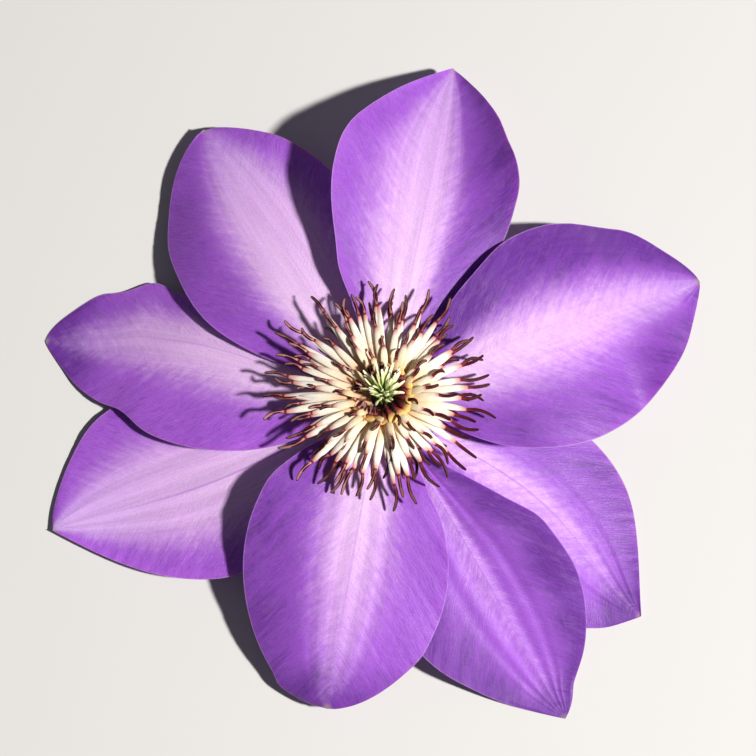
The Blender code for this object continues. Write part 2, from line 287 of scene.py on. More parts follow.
def new_group(name, inputs, outputs):
    """A shader node group with named number, vector or colour sockets, and its two end nodes."""
    group = bpy.data.node_groups.new(name, "ShaderNodeTree")
    for direction, sockets in (("INPUT", inputs), ("OUTPUT", outputs)):
        for socket, kind in sockets:
            group.interface.new_socket(socket, in_out=direction, socket_type="NodeSocket" + kind)
    return group, group.nodes.new("NodeGroupInput"), group.nodes.new("NodeGroupOutput")


# %% [markdown]
# ## Satin grain
#
# Tepals, straps and styles are all made of tiny bulging cells, which give a fine grain and a satin glint.
# One node group serves them all: it puts out a speckle and a wider mottling for the colour, and a height for
# the bump. It reads Object coordinates, which are metres here, so the cell size is true on every piece.

# %% The satin grain group
GRAIN_OUTPUTS = [("Speckle", "Float"), ("Mottle", "Float"), ("Height", "Float")]
MOTTLE_SHARE = 0.16         # the mottling's scale as a share of the grain's
grain_group, ends_in, ends_out = new_group("satin grain", [("Cell", "Float")], GRAIN_OUTPUTS)
where = add_node(grain_group, "TexCoord").outputs["Object"]
scale = math_node(grain_group, "DIVIDE", 1.0, ends_in.outputs["Cell"])
fine = add_node(grain_group, "TexNoise", {"Vector": where, "Scale": scale, "Detail": 2.0, "Roughness": 0.6})
wide_scale = math_node(grain_group, "MULTIPLY", scale, MOTTLE_SHARE)
wide_inputs = {"Vector": where, "Scale": wide_scale, "Detail": 3.0, "Roughness": 0.6}
wide = add_node(grain_group, "TexNoise", wide_inputs)
grain_group.links.new(threshold(grain_group, fine.outputs["Fac"], 0.32, 0.68), ends_out.inputs["Speckle"])
grain_group.links.new(threshold(grain_group, wide.outputs["Fac"], 0.32, 0.68), ends_out.inputs["Mottle"])
grain_group.links.new(fine.outputs["Fac"], ends_out.inputs["Height"])
count_nodes("satin grain", grain_group)


def satin_grain(tree, cell):
    """Places the grain in a material, with its cell size in metres."""
    placed = add_node(tree, "Group", node_tree=grain_group)
    placed.inputs["Cell"].default_value = cell
    return placed.outputs["Speckle"], placed.outputs["Mottle"], placed.outputs["Height"]


# %% [markdown]
# ## The tepals' form
#
# Each tepal leaves the receptacle on a narrow claw, widens to a blade and narrows to a tip. Its midrib rises
# a little, arches over and droops. One rule gives the blade's upper face from two shares: u runs from the
# claw to the tip, and v runs from the right edge (-1) over the midrib (0) to the left edge (1). A row of the
# table is one tepal: angles turn anticlockwise from +X, and lengths are in millimetres.

# %% The table of tepals
# The claw leaves the receptacle at root, and the tip lies at aim, reach from the axis. level lifts the claw,
# rise is how far the midrib climbs at first, and shoulder and tip pull it to its heights further out. left
# and right give each side its half width, the share of the length where it is widest, and how slender it is
# below and above there. left_edge and right_edge are how far each margin stands above the midrib, below and
# above the middle. crease gives the slopes to which the left and the right half are folded up, and where
# along the length that starts.
Tepal = namedtuple("Tepal", ("name root aim reach level rise shoulder tip "
                             "left right left_edge right_edge crease"))

TEPALS = (
    Tepal("tepal_top", 70, 78.7, 85.2, 2.3, 3.0, 21, 6,
          (22.5, 0.60, 0.52, 0.92), (20.5, 0.59, 0.64, 0.88), (2.5, 6.5), (-4.5, 5.5), (0, 0, 0)),
    Tepal("tepal_high_left", 115, 121.8, 81.2, 1.6, 0.0, 12.5, 4,
          (24.8, 0.55, 0.68, 0.58), (20.2, 0.58, 0.62, 0.65), (-1.5, -5.5), (-3.5, -2.0), (0, 0, 0)),
    Tepal("tepal_left", 160, 167, 82, 0.8, -1.0, 9.5, -4.5,
          (19.2, 0.47, 0.70, 0.80), (17.0, 0.65, 0.62, 0.60), (-0.5, -0.5), (-2.0, -4.0), (0, 0, 0)),
    Tepal("tepal_low_left", 205, 199.3, 81.6, 0.0, -2.5, 1.0, 1.0,
          (24.3, 0.50, 0.62, 0.95), (24.0, 0.60, 0.62, 0.70), (-1.0, 1.0), (-2.0, -2.0), (0, 0, 0)),
    Tepal("tepal_bottom", 250, 259.2, 70.0, 2.3, 2.5, 17, 5,
          (22.4, 0.56, 0.58, 0.56), (25.0, 0.49, 0.60, 0.46), (-1.0, -2.5), (-1.5, -5.5), (0, 0, 0)),
    Tepal("tepal_lower", 292, 300.5, 82, 0.8, 0.0, 14, -6,
          (18.9, 0.62, 1.12, 0.82), (22.2, 0.54, 0.62, 0.98), (-1.0, 0.0), (-2.5, -1.0), (0.24, 0, 0)),
    Tepal("tepal_low_right", 333, 321.5, 75.8, 0.0, -2.0, 4.5, 1.2,
          (24.6, 0.51, 0.62, 0.98), (20.0, 0.60, 0.62, 0.88), (-2.5, -2.0), (-2.0, -1.5), (0, 0, 0)),
    Tepal("tepal_right", 22, 23.7, 81.8, 3.1, 4.0, 22, -7.5,
          (24.9, 0.59, 0.70, 0.66), (27.0, 0.48, 0.62, 0.80), (0.5, -5.0), (-1.0, -3.5), (0, 0.5, 0.64)),
)
print(len(TEPALS), "tepals")


# %% The lobes
# Where a margin bulges or is notched: its side (1 left, -1 right), the place along the tepal, how far it
# stands out of the even outline in millimetres, and the share of the length that it spreads over.
LOBES = {
    "tepal_top": ((1, 0.30, 0.8, 0.06), (1, 0.72, 0.5, 0.08), (-1, 0.78, -0.7, 0.05), (-1, 0.64, 0.4, 0.05)),
    "tepal_high_left": ((1, 0.73, 0.6, 0.07), (1, 0.45, 0.5, 0.12), (-1, 0.86, 0.3, 0.05)),
    "tepal_left": ((1, 0.72, -1.7, 0.06), (-1, 0.72, 2.3, 0.06), (-1, 0.87, 1.2, 0.05), (1, 0.88, 0.5, 0.06)),
    "tepal_low_left": ((-1, 0.80, 0.9, 0.10), (1, 0.50, 0.6, 0.12)),
    "tepal_bottom": ((-1, 0.96, 2.9, 0.03), (-1, 0.27, 0.5, 0.06), (1, 0.24, -0.7, 0.05),
                     (1, 0.78, 0.5, 0.06)),
    "tepal_lower": ((1, 0.47, 0.9, 0.06), (1, 0.93, -1.5, 0.05), (-1, 0.79, -0.3, 0.06)),
    "tepal_low_right": ((1, 0.75, 0.9, 0.12), (-1, 0.95, 1.0, 0.04)),
    "tepal_right": ((1, 0.87, 1.5, 0.06), (1, 0.36, -0.6, 0.07), (-1, 0.84, 0.8, 0.10)),
}
print(sum(len(row) for row in LOBES.values()), "lobes")

# %% The rule for the blade
CLAW_RADIUS = HEAD_RADIUS - 0.3 * MM   # the claws are rooted just inside the receptacle
CLAW_HALF_WIDTH = 1.5 * MM
CLAW_SHARE = 0.06                      # share of the length over which the claw widens
EDGE_TURN = (0.3, 0.8)                 # where the margins turn to their outer heights
CREASE_ROUNDING = 2.0 * MM
CREASE_START = 0.2
EDGE_WAVE = 0.5 * MM
LANDING = 3.0 * MM                     # how softly a drooping blade comes to lie on the surface


def half_width(tepal, u, v):
    """How far the blade reaches from its midrib at share u, on the left (v > 0) or the right."""
    full, widest, below, above = tepal.left if v > 0 else tepal.right
    swell = max(math.sin(math.pi * u ** (math.log(0.5) / math.log(widest))), 0.0)
    blade = full * swell ** (below * (1 - u) + above * u) * (1 - math.exp(-u / CLAW_SHARE))
    for side, place, bulge, spread in LOBES[tepal.name]:
        if side * v > 0:
            blade += bulge * min(swell * 3, 1) * math.exp(-((u - place) / spread) ** 2)
    return max(blade * MM, CLAW_HALF_WIDTH * (1 - u))


def settled(height, lowest):
    """A height that never goes below the lowest one, and eases into it where a blade comes to lie down."""
    above = height - lowest
    eased = (above + math.hypot(above, LANDING)) / 2
    return lowest + eased - LANDING**2 / (4 * math.hypot(above, 2 * LANDING))


def blade_point(tepal, u, v):
    """A point of the plain blade's upper face, and its distances along and across the blade."""
    claw, tip = polar(CLAW_RADIUS, tepal.root), polar(tepal.reach * MM, tepal.aim)
    along = tip - claw
    leftward = Vector((-along.y, along.x, 0)).normalized()
    reach = half_width(tepal, u, v)
    offset = v * reach
    claw_z = CLAW_HEIGHT + tepal.level * MM
    z = bezier((claw_z, claw_z + tepal.rise * MM, tepal.shoulder * MM, tepal.tip * MM), u)
    (full, *_), (low, high) = (tepal.left, tepal.left_edge) if v > 0 else (tepal.right, tepal.right_edge)
    z += (low + (high - low) * smoothstep(*EDGE_TURN, u)) * reach / full * v * v
    left_slope, right_slope, start = tepal.crease
    folded = math.hypot(offset, CREASE_ROUNDING) + abs(offset) - CREASE_ROUNDING
    z += (left_slope if v > 0 else right_slope) * folded / 2 * smoothstep(start, start + CREASE_START, u)
    z += EDGE_WAVE * abs(v) ** 3 * math.sin(math.pi * (4 * u + 0.6 * v)) * u
    return AXIS + claw + along * u + leftward * offset + Vector((0, 0, z)), u * along.length, offset


# %% [markdown]
# ## Ribs, veins and bars
#
# A tepal is marked along its veins. Five ribs run from the claw towards the tip. The underside shows them
# all, and the face the middle three, with a pale bar between and beside them that is palest at the heart and
# melts into the violet. From the midrib, finer veins slant outwards and forwards to the margin, which is a
# little crinkled. On some tepals the ribs bow to one side, and each side's bar has its own width, so these
# are given for each tepal.

# %% The table of marks
# bow shifts the ribs towards the left edge, as a share of the half width. left and right are the bar's half
# width at the claw and at the tip, as shares. Then come how pale the bar is, how much of that is lost on the
# way to the tip, how strongly the ribs are drawn, and how dark the violet is on the left half, on the right
# half and at the tip. The bar's paleness, its loss and the dark violet are partly the tepal's own colour and
# partly
# painted light and shade: a tepal or a half that slopes away from the light gets a weaker bar and deeper
# violet, one that faces it a paler bar. Bar and deep violet can't go beyond full strength, so a paleness or a
# darkness above 1 makes them full over a wider stretch.
Marks = namedtuple("Marks", "bow left right white fade lines deep")

MARKS = {
    "tepal_top": Marks(0.0, (0.74, 0.44), (0.40, 0.30), 1.00, 0.25, 0.4, (0.45, 1.20, 0.1)),
    "tepal_high_left": Marks(0.0, (0.50, 0.38), (0.68, 0.56), 1.40, 0.80, 0.3, (0.45, 0.00, 0.3)),
    "tepal_left": Marks(-0.32, (0.58, 0.30), (0.86, 0.44), 1.15, 1.00, 0.6, (0.00, 0.00, 2.0)),
    "tepal_low_left": Marks(0.10, (0.66, 0.54), (0.74, 0.48), 1.20, 0.12, 0.8, (0.00, 0.10, 0.0)),
    "tepal_bottom": Marks(0.0, (0.48, 0.34), (0.46, 0.28), 0.86, 0.85, 0.5, (0.35, 0.85, 1.4)),
    "tepal_lower": Marks(0.0, (0.20, 0.08), (0.32, 0.10), 0.36, 0.90, 0.7, (1.50, 1.30, 1.3)),
    "tepal_low_right": Marks(0.22, (0.30, 0.18), (0.28, 0.18), 0.56, 0.95, 0.9, (1.00, 1.10, 1.7)),
    "tepal_right": Marks(0.0, (0.44, 0.32), (0.48, 0.32), 0.80, 0.30, 0.2, (1.70, 0.90, 0.5)),
}
print("marks for", len(MARKS), "tepals")


# %% Fine form of a blade
RIB_SPACING = 0.22          # share of the half width between two ribs
GROOVE_DEPTH = 0.35 * MM
VEIN_HEIGHT = 0.09 * MM
VEIN_WIDTH = 1.3 * MM
VEIN_LENGTH = 12 * MM
VEIN_SLANT = 0.75           # how far a vein runs forward for each step outward
SWELL_SIZE = 12 * MM        # the blade's gentle unevenness
SWELL_HEIGHT = 0.8 * MM
CRINKLE_HEIGHT = 0.22 * MM  # the margin's short folds
CRINKLE_WIDTH = 2.4 * MM


def rib_share(marks, u, v):
    """The place across from the bowed midrib: -1 at the right edge, 0 on the midrib, 1 at the left."""
    middle = marks.bow * 4 * u * (1 - u)
    return (v - middle) / (1 - middle if v > middle else 1 + middle)


def vein_place(along, across):
    """Distance across the side veins. A vein leaves the midrib forwards and bends outwards."""
    return along - VEIN_SLANT * abs(across) - abs(across) ** 1.5 * 2.2


def relief(marks, seed, u, v, along, across):
    """How far the ribs, veins, crinkles and swellings stand above the plain blade."""
    w = rib_share(marks, u, v)
    in_bar = 1 - smoothstep(0.30, 0.50, abs(w))
    length_fade = smoothstep(0.02, 0.15, u) * (1 - smoothstep(0.85, 1.0, u))
    groove = -marks.lines * GROOVE_DEPTH * (0.5 - 0.5 * math.cos(2 * math.pi * w / RIB_SPACING)) * in_bar
    slant = vein_place(along, across)
    vein = VEIN_HEIGHT * noise.noise(Vector((slant / VEIN_WIDTH, across / VEIN_LENGTH, seed))) * (1 - in_bar)
    crinkle = CRINKLE_HEIGHT * noise.noise(Vector((slant / CRINKLE_WIDTH, across / VEIN_LENGTH, seed + 0.5)))
    crinkle *= smoothstep(0.55, 1.0, abs(v))
    spot = Vector((along, across, 0)) / SWELL_SIZE + Vector((0, 0, seed))
    swell = SWELL_HEIGHT * noise.noise(spot) * abs(v)
    return length_fade * (groove + vein + crinkle + swell)


def thickness_share(marks, u, v):
    """The blade's thickness as a share of the full one: thin at the margin and full on the ribs."""
    w = rib_share(marks, u, v)
    inward = smoothstep(0.0, 0.16, 1 - abs(v)) * smoothstep(0.0, 0.06, 1 - u)
    rib = max(math.exp(-((abs(w) - place) / 0.035) ** 2) for place in (0, RIB_SPACING, 2 * RIB_SPACING))
    return 0.22 + inward * (0.40 + 0.38 * rib * (1 - 0.6 * u))


def paleness(marks, u, v):
    """The pale bar, partly painted light and shade: full in the middle, 0 well beside it, narrowing and
    fading to the tip.
    """
    w = rib_share(marks, u, v)
    at_claw, at_tip = marks.left if w > 0 else marks.right
    reach = at_claw + (at_tip - at_claw) * u
    return marks.white * (1 - smoothstep(0.05 * reach, 1.60 * reach, abs(w))) * (1 - marks.fade * u ** 4)


def depth_and_shade(marks, u, v):
    """How dark the violet is, own colour and painted shade: growing from the bar to each margin, and to the
    tip.
    """
    on_left, on_right, at_tip = marks.deep
    side = on_right + (on_left - on_right) * smoothstep(-0.1, 0.1, v)
    return max(side * (0.2 + 0.8 * smoothstep(0.10, 0.90, abs(v))), at_tip * smoothstep(0.75, 1.0, u))


# %% [markdown]
# ## Building a blade
#
# A blade starts as a flat grid, whose points already lie in rows and columns, so u and v can be read off
# them. Each point is moved to its place by the rule. The grid's last row falls together in the tip and is
# merged. A Solidify modifier then gives the sheet its thickness, which a vertex group thins towards the
# margin, and gives the underside the second material. Attributes stored on the points tell the materials
# where they are on the blade.

# %% Blade helpers
ROWS = 150
COLUMNS = 64
BLADE_THICKNESS = 0.6 * MM
BLADE_ATTRIBUTES = ("place", "lay", "marks")   # all three are vectors, and the violet's darkness, with its painted shade, is a number
MUCRO = (0.3 * MM, 1.6 * MM)                   # the dark point at the tip is full, and gone, this far from it


def row_share(even):
    """Moves evenly spaced rows closer together at the claw and at the tip."""
    return (even + (1 - math.cos(math.pi * even)) / 2) / 2


def store(mesh, name, kind, field, values):
    """Stores one value for each of a mesh's points."""
    attribute = mesh.attributes.new(name, kind, "POINT")
    for item, value in zip(attribute.data, values):
        setattr(item, field, value)


def shape_blade(tepal, seed, sheet):
    """Moves the flat grid's points onto the blade and stores what the materials read."""
    marks = MARKS[tepal.name]
    values = {name: [] for name in BLADE_ATTRIBUTES}
    deep = []
    thick = sheet.vertex_groups.new(name="thickness")
    for vert in sheet.data.vertices:
        u, v = row_share((vert.co.x + 1) / 2), vert.co.y
        spot, along, across = blade_point(tepal, u, v)
        spot.z += relief(marks, seed, u, v, along, across)
        share = thickness_share(marks, u, v)
        spot.z = settled(spot.z, share * BLADE_THICKNESS)
        thick.add([vert.index], share, "REPLACE")
        vert.co = spot
        values["place"].append((u, rib_share(marks, u, v), abs(v)))
        values["lay"].append((vein_place(along, across) / MM, across / MM, seed * 10))
        to_tip = math.hypot((1 - u) * tepal.reach * MM, across)
        values["marks"].append((paleness(marks, u, v), marks.lines, 1 - smoothstep(*MUCRO, to_tip)))
        deep.append(depth_and_shade(marks, u, v))
    for name in BLADE_ATTRIBUTES:
        store(sheet.data, name, "FLOAT_VECTOR", "vector", values[name])
    store(sheet.data, "deep", "FLOAT", "value", deep)


def make_blade(tepal, seed):
    """One tepal's blade: a grid shaped by the rule, closed at the tip and given its thickness."""
    deselect()
    bpy.ops.mesh.primitive_grid_add(x_subdivisions=ROWS, y_subdivisions=COLUMNS, size=2)
    sheet = bpy.context.object
    sheet.name = tepal.name + "_blade"
    shape_blade(tepal, seed, sheet)
    bpy.ops.object.mode_set(mode="EDIT")
    bpy.ops.mesh.select_all(action="SELECT")
    bpy.ops.mesh.remove_doubles(threshold=0.00001)
    bpy.ops.object.mode_set(mode="OBJECT")
    sheet.data.materials.append(tepal_face)
    sheet.data.materials.append(tepal_back)
    solid = sheet.modifiers.new("thickness", "SOLIDIFY")
    solid.thickness = BLADE_THICKNESS
    solid.offset = -1
    solid.vertex_group = "thickness"
    solid.thickness_vertex_group = 0
    solid.material_offset = 1
    bpy.ops.object.modifier_apply(modifier=solid.name)
    for vert in sheet.data.vertices:
        vert.co = [min(max(part, low), high) for part, low, high in zip(vert.co, cad_low, cad_high)]
    bpy.ops.object.shade_smooth_by_angle(angle=math.radians(50))
    return sheet


# %% [markdown]
# ## The tepals' finish
#
# The upper face is violet, deeper at the margin, and the bar is mixed in where the points' paleness says so.
# Its edge isn't drawn: streaks and mottling add to the paleness, more in one spot and less in the next, so
# the bar melts into the violet. The streaks are noise stretched along the side veins, which the points'
# "lay" gives in millimetres. They show in patches, most of all near the margin. The underside is paler and
# duller, with greenish ribs.

# %% The vein streaks group
STREAKS = (("Broad", (1.5, 7.0), 2.0), ("Fine", (0.42, 1.8), 2.0), ("Patches", (8.0, 12.0), 1.0))
WAVINESS = 1.1              # how far the veins wander to the side, in millimetres
WAVE_SIZE = 3.2             # and the size of that unevenness
FIBRE_SIZE = (0.2, 0.03)    # the bar's fibres, as shares of the blade's length and half width
STREAK_INPUTS = [("Lay", "Vector"), ("Place", "Vector")]
STREAK_OUTPUTS = [(name, "Float") for name, _, _ in STREAKS] + [("Fibres", "Float")]
streaks_group, ends_in, ends_out = new_group("vein streaks", STREAK_INPUTS, STREAK_OUTPUTS)
lay = ends_in.outputs["Lay"]
uneven = add_node(streaks_group, "TexNoise", {"Vector": lay, "Scale": 1 / WAVE_SIZE, "Detail": 1.0})
sideways = math_node(streaks_group, "MULTIPLY_ADD", uneven.outputs["Fac"], 2 * WAVINESS, -WAVINESS)
shift = add_node(streaks_group, "CombineXYZ", {0: sideways}).outputs[0]
wavy = add_node(streaks_group, "VectorMath", {0: lay, 1: shift}, operation="ADD").outputs[0]


def add_streaks(source, size, detail, output):
    """Noise stretched along a direction: size is the streaks' width and length."""
    inputs = {"Vector": source, "Scale": (1 / size[0], 1 / size[1], 1)}
    stretched = add_node(streaks_group, "Mapping", inputs).outputs[0]
    streak = add_node(streaks_group, "TexNoise", {"Vector": stretched, "Scale": 1.0, "Detail": detail})
    spread = threshold(streaks_group, streak.outputs["Fac"], 0.32, 0.68)
    streaks_group.links.new(spread, ends_out.inputs[output])


for name, size, detail in STREAKS:
    add_streaks(wavy, size, detail, name)
add_streaks(ends_in.outputs["Place"], FIBRE_SIZE, 3.0, "Fibres")
count_nodes("vein streaks", streaks_group)


def vein_streaks(tree):
    """Places the streaks in a material: those along the side veins, and the bar's fibres."""
    placed = add_node(tree, "Group", node_tree=streaks_group)
    tree.links.new(read(tree, "lay", "Vector"), placed.inputs["Lay"])
    tree.links.new(read(tree, "place", "Vector"), placed.inputs["Place"])
    return placed.outputs


# %% [markdown]
# ## Light in thin tissue
#
# A tepal is thin enough to glow. Light that enters it spreads sideways before it leaves, and what comes out
# has lost most of its green, so that even the shaded side of a tepal looks violet and not grey. Subsurface
# scattering does this: both faces get it, with values that are the same all over, so they stand on the
# shader's own sockets.

# %% Thin tissue
TISSUE_SHARE = 0.35
TISSUE_RADIUS = (1.0, 0.45, 1.0)   # how far red, green and blue light spread, as shares
TISSUE_SCALE = 1.2 * MM


def let_light_through(shader):
    """Lets some of the light spread inside the thin blade."""
    shader.inputs["Subsurface Weight"].default_value = TISSUE_SHARE
    shader.inputs["Subsurface Radius"].default_value = TISSUE_RADIUS
    shader.inputs["Subsurface Scale"].default_value = TISSUE_SCALE


# %% [markdown]
# ## The upper face
#
# The face is built up as a painter would: first the violet with its deeper parts, then the bar, then the
# fine lines, the veins, the thin rim and the dark point at the tip. All of it goes into one base colour.

# %% Upper face: the violet
VIOLET = (0.40, 0.115, 0.68)
DEEP_VIOLET = (0.125, 0.024, 0.27)
GRAIN_CELL = 0.28 * MM
PATCHINESS = 0.55           # how much of the deep violet comes in streaky patches
EVENNESS = 0.60             # and how much is even

tepal_face, tree, shader = new_material("tepal_face", 0.5)
u, w, edge = add_node(tree, "SeparateXYZ", {0: read(tree, "place", "Vector")}).outputs
pale, lines, mucro = add_node(tree, "SeparateXYZ", {0: read(tree, "marks", "Vector")}).outputs
streaks = vein_streaks(tree)
speckle, mottle, grain_height = satin_grain(tree, GRAIN_CELL)

patchy = math_node(tree, "MULTIPLY", streaks["Broad"], streaks["Patches"])
uneven = math_node(tree, "MULTIPLY_ADD", patchy, PATCHINESS, EVENNESS)
# The deeper violet is partly the tepal's own colour and partly painted shade on tepals and halves that slope
# away from the light.
deep = math_node(tree, "MULTIPLY", read(tree, "deep"), uneven)
violet = mix_colour(tree, math_node(tree, "MULTIPLY", deep, 1.0, clamp=True), VIOLET, DEEP_VIOLET)

# %% Upper face: the bar
BAR = ((0.0, (0.93, 0.70, 0.94)), (0.30, (0.87, 0.58, 0.92)), (0.65, (0.76, 0.46, 0.87)),
       (1.0, (0.58, 0.36, 0.76)))   # the bar's colour from the claw to the tip

BAR_SHIFTS = ((streaks["Broad"], 0.16), (streaks["Fine"], 0.10), (mottle, 0.10))
BAR_EDGE = (0.12, 1.22)             # the shifted paleness at which the bar begins, and is full

shifted = pale
for pattern, share in BAR_SHIFTS:
    shifted = math_node(tree, "MULTIPLY_ADD", pattern, share, shifted)
bar = threshold(tree, shifted, *BAR_EDGE)
face = mix_colour(tree, bar, violet, colour_ramp(tree, u, BAR))

# %% Upper face: lines, veins and rim
LINE = (0.26, 0.09, 0.44)
LINE_HALF_WIDTH = 0.022     # as a share of the blade's half width, like the next two
LINES_FROM, LINES_TO = 0.02, 0.36
LINES_END = (0.55, 0.9)     # where along the blade the lines grow faint
LINE_SHARE = 0.60           # how far a colour is mixed in where it is strongest
FIBRE_SHARE = 0.14
VEIN_SHARE = 0.30
RIM = (0.52, 0.30, 0.72)
RIM_FROM = 0.985
RIM_SHARE = 0.5
MUCRO_COLOUR = (0.30, 0.24, 0.22)
MUCRO_SHARE = 0.7

across = math_node(tree, "ABSOLUTE", w)
off_line = math_node(tree, "PINGPONG", across, RIB_SPACING / 2)
on_line = math_node(tree, "MULTIPLY", threshold(tree, off_line, 0.0, LINE_HALF_WIDTH, 1.0, 0.0),
                    threshold(tree, across, LINES_FROM, LINES_TO, 1.0, 0.0))
on_line = math_node(tree, "MULTIPLY", on_line, threshold(tree, u, *LINES_END, 1.0, 0.2))
on_line = math_node(tree, "MULTIPLY", on_line, lines)
fibre = math_node(tree, "MULTIPLY", streaks["Fibres"], FIBRE_SHARE)
lined = math_node(tree, "MAXIMUM", math_node(tree, "MULTIPLY", on_line, LINE_SHARE), fibre)
face = mix_colour(tree, lined, face, LINE)
in_vein = threshold(tree, streaks["Fine"], 0.45, 0.95)
veined = math_node(tree, "MULTIPLY", in_vein, threshold(tree, edge, 0.1, 0.8))
face = mix_colour(tree, math_node(tree, "MULTIPLY", veined, VEIN_SHARE), face, DEEP_VIOLET)
# The speckle darkens and lightens single cells: partly the cells' own grain, partly painted glints where the
# satin catches the light.
face = tint(tree, face, threshold(tree, speckle, 0.0, 1.0, 0.93, 1.06))
face = mix_colour(tree, threshold(tree, edge, RIM_FROM, 1.0, 0.0, RIM_SHARE), face, RIM)
face = mix_colour(tree, math_node(tree, "MULTIPLY", mucro, MUCRO_SHARE), face, MUCRO_COLOUR)
tree.links.new(face, shader.inputs["Base Color"])

# %% Upper face: gloss and grain
SATIN = (0.58, 0.42)        # roughness between the cells and on them

add_bump(tree, shader, math_node(tree, "MULTIPLY_ADD", streaks["Fine"], 0.6, grain_height), 0.35, 0.12 * MM)
tree.links.new(threshold(tree, speckle, 0.0, 1.0, *SATIN), shader.inputs["Roughness"])
shader.inputs["Sheen Weight"].default_value = 0.06
shader.inputs["Specular IOR Level"].default_value = 0.30
let_light_through(shader)
count_nodes("tepal face", tree)

# %% [markdown]
# ## The underside
#
# The back of a tepal is paler and duller than its face. Its ribs stand out in a greyish green, boldest where
# they leave the claw, and short soft hairs give it a faint sheen.

# %% Underside
BACK = (0.46, 0.25, 0.66)
BACK_RIB = (0.36, 0.41, 0.24)
BACK_RIB_HALF_WIDTH = 0.035     # as a share of the blade's half width, like the next
BACK_RIBS_TO = (0.45, 0.50)

tepal_back, tree, shader = new_material("tepal_back", 0.6)
u, w, edge = add_node(tree, "SeparateXYZ", {0: read(tree, "place", "Vector")}).outputs
streaks = vein_streaks(tree)
_, mottle, grain_height = satin_grain(tree, GRAIN_CELL)
back = mix_colour(tree, threshold(tree, edge, 0.5, 1.0, 0.0, 0.6), BACK, VIOLET)
across = math_node(tree, "ABSOLUTE", w)
off_rib = math_node(tree, "PINGPONG", across, RIB_SPACING / 2)
rib = math_node(tree, "MULTIPLY", threshold(tree, off_rib, 0.0, BACK_RIB_HALF_WIDTH, 1.0, 0.0),
                threshold(tree, across, *BACK_RIBS_TO, 1.0, 0.0))
rib = math_node(tree, "MULTIPLY", rib, threshold(tree, u, 0.2, 0.95, 0.85, 0.2))
back = mix_colour(tree, rib, back, BACK_RIB)
back = tint(tree, back, threshold(tree, streaks["Fine"], 0.0, 1.0, 0.92, 1.05))
back = tint(tree, back, threshold(tree, mottle, 0.0, 1.0, 0.92, 1.06))
tree.links.new(back, shader.inputs["Base Color"])
add_bump(tree, shader, math_node(tree, "MULTIPLY_ADD", streaks["Fine"], 0.4, grain_height), 0.3, 0.12 * MM)
shader.inputs["Sheen Weight"].default_value = 0.12
let_light_through(shader)
count_nodes("tepal back", tree)

# %% Make the eight tepals
for number, tepal in enumerate(TEPALS):
    settle(make_blade(tepal, number + 1), tepal.name)

# %% [markdown]
# ## Straight strands
#
# Stamens and styles are strands: one is modelled straight, along +X, and each copy is then bent along its
# own curve. A strand starts as a filled circle that stands across the X axis. It is extruded ring by ring,
# and every new ring is resized to the width and depth that the strand has there.

# %% Strand helpers
Ring = namedtuple("Ring", "at width depth")


def straight_strand(name, sides, rings):
    """A closed strand along +X through the given rings."""
    first = rings[0]
    deselect()
    bpy.ops.mesh.primitive_circle_add(vertices=sides, radius=0.5, fill_type="NGON", location=(first.at, 0, 0),
                                      rotation=(0, math.pi / 2, 0))
    strand = bpy.context.object
    strand.name = name
    bpy.ops.object.transform_apply()
    bpy.ops.object.mode_set(mode="EDIT")
    bpy.ops.mesh.select_all(action="SELECT")
    bpy.ops.transform.resize(value=(1, first.width, first.depth), center_override=(first.at, 0, 0))
    for last, ring in zip(rings, rings[1:]):
        bpy.ops.mesh.extrude_region_move(TRANSFORM_OT_translate={"value": (ring.at - last.at, 0, 0)})
        bpy.ops.transform.resize(value=(1, ring.width / last.width, ring.depth / last.depth),
                                 center_override=(ring.at, 0, 0))
    bpy.ops.mesh.select_all(action="SELECT")
    bpy.ops.mesh.normals_make_consistent(inside=False)
    bpy.ops.object.mode_set(mode="OBJECT")
    bpy.ops.object.shade_smooth_by_angle(angle=math.radians(60))
    return strand


def bent_copy(master, path, across, twist=0.0, stout=1.0):
    """A copy of a straight strand whose X axis follows path. Its width, times stout, lies along across."""
    strand = master.copy()
    strand.data = master.data.copy()
    bpy.context.scene.collection.objects.link(strand)
    step = 0.01
    frames = {}
    for vert in strand.data.vertices:
        x = round(vert.co.x, 5)
        if x not in frames:
            ahead = (path(x + step) - path(x - step)).normalized()
            up = ahead.cross(across).normalized()
            turn = Matrix.Rotation(twist * x, 3, ahead)
            frames[x] = (path(x), turn @ up.cross(ahead), turn @ up)
        spot, side, up = frames[x]
        vert.co = spot + side * vert.co.y * stout + up * vert.co.z
    return strand


def join(strands, name):
    """Joins strands into one piece."""
    deselect()
    for strand in strands:
        strand.select_set(True)
    bpy.context.view_layer.objects.active = strands[0]
    bpy.ops.object.join()
    strands[0].name = name
    return strands[0]


# %% [markdown]
# ## The stamens
#
# A stamen is a flat filament, cream and strap-like, that widens to its end and blushes where the anther
# starts. The anther is a slender maroon rod: two long pollen sacs with a paler band between them. The
# straight stamen is 2 long, from 0 to 1 the filament and from 1 to 2 the anther, so that each copy can share
# its length out differently.

# %% The straight stamen
FILAMENT = tuple(Ring(at, width * MM, depth * MM) for at, width, depth in (
    (0.00, 0.60, 0.40), (0.12, 0.98, 0.42), (0.28, 1.34, 0.42), (0.46, 1.58, 0.42), (0.64, 1.68, 0.42),
    (0.78, 1.68, 0.42), (0.88, 1.50, 0.44), (0.95, 1.18, 0.46), (0.99, 0.92, 0.50)))
ANTHER = tuple(Ring(at, width * MM, depth * MM) for at, width, depth in (
    (1.02, 0.80, 0.58), (1.12, 0.78, 0.68), (1.30, 0.84, 0.72), (1.50, 0.84, 0.70), (1.68, 0.80, 0.68),
    (1.84, 0.76, 0.64), (1.95, 0.64, 0.56), (2.00, 0.40, 0.38)))
SACS_FROM = 1.08                # the groove between the pollen sacs
SACS_TO = 1.97
BAND_HALF_WIDTH = 0.2 * MM

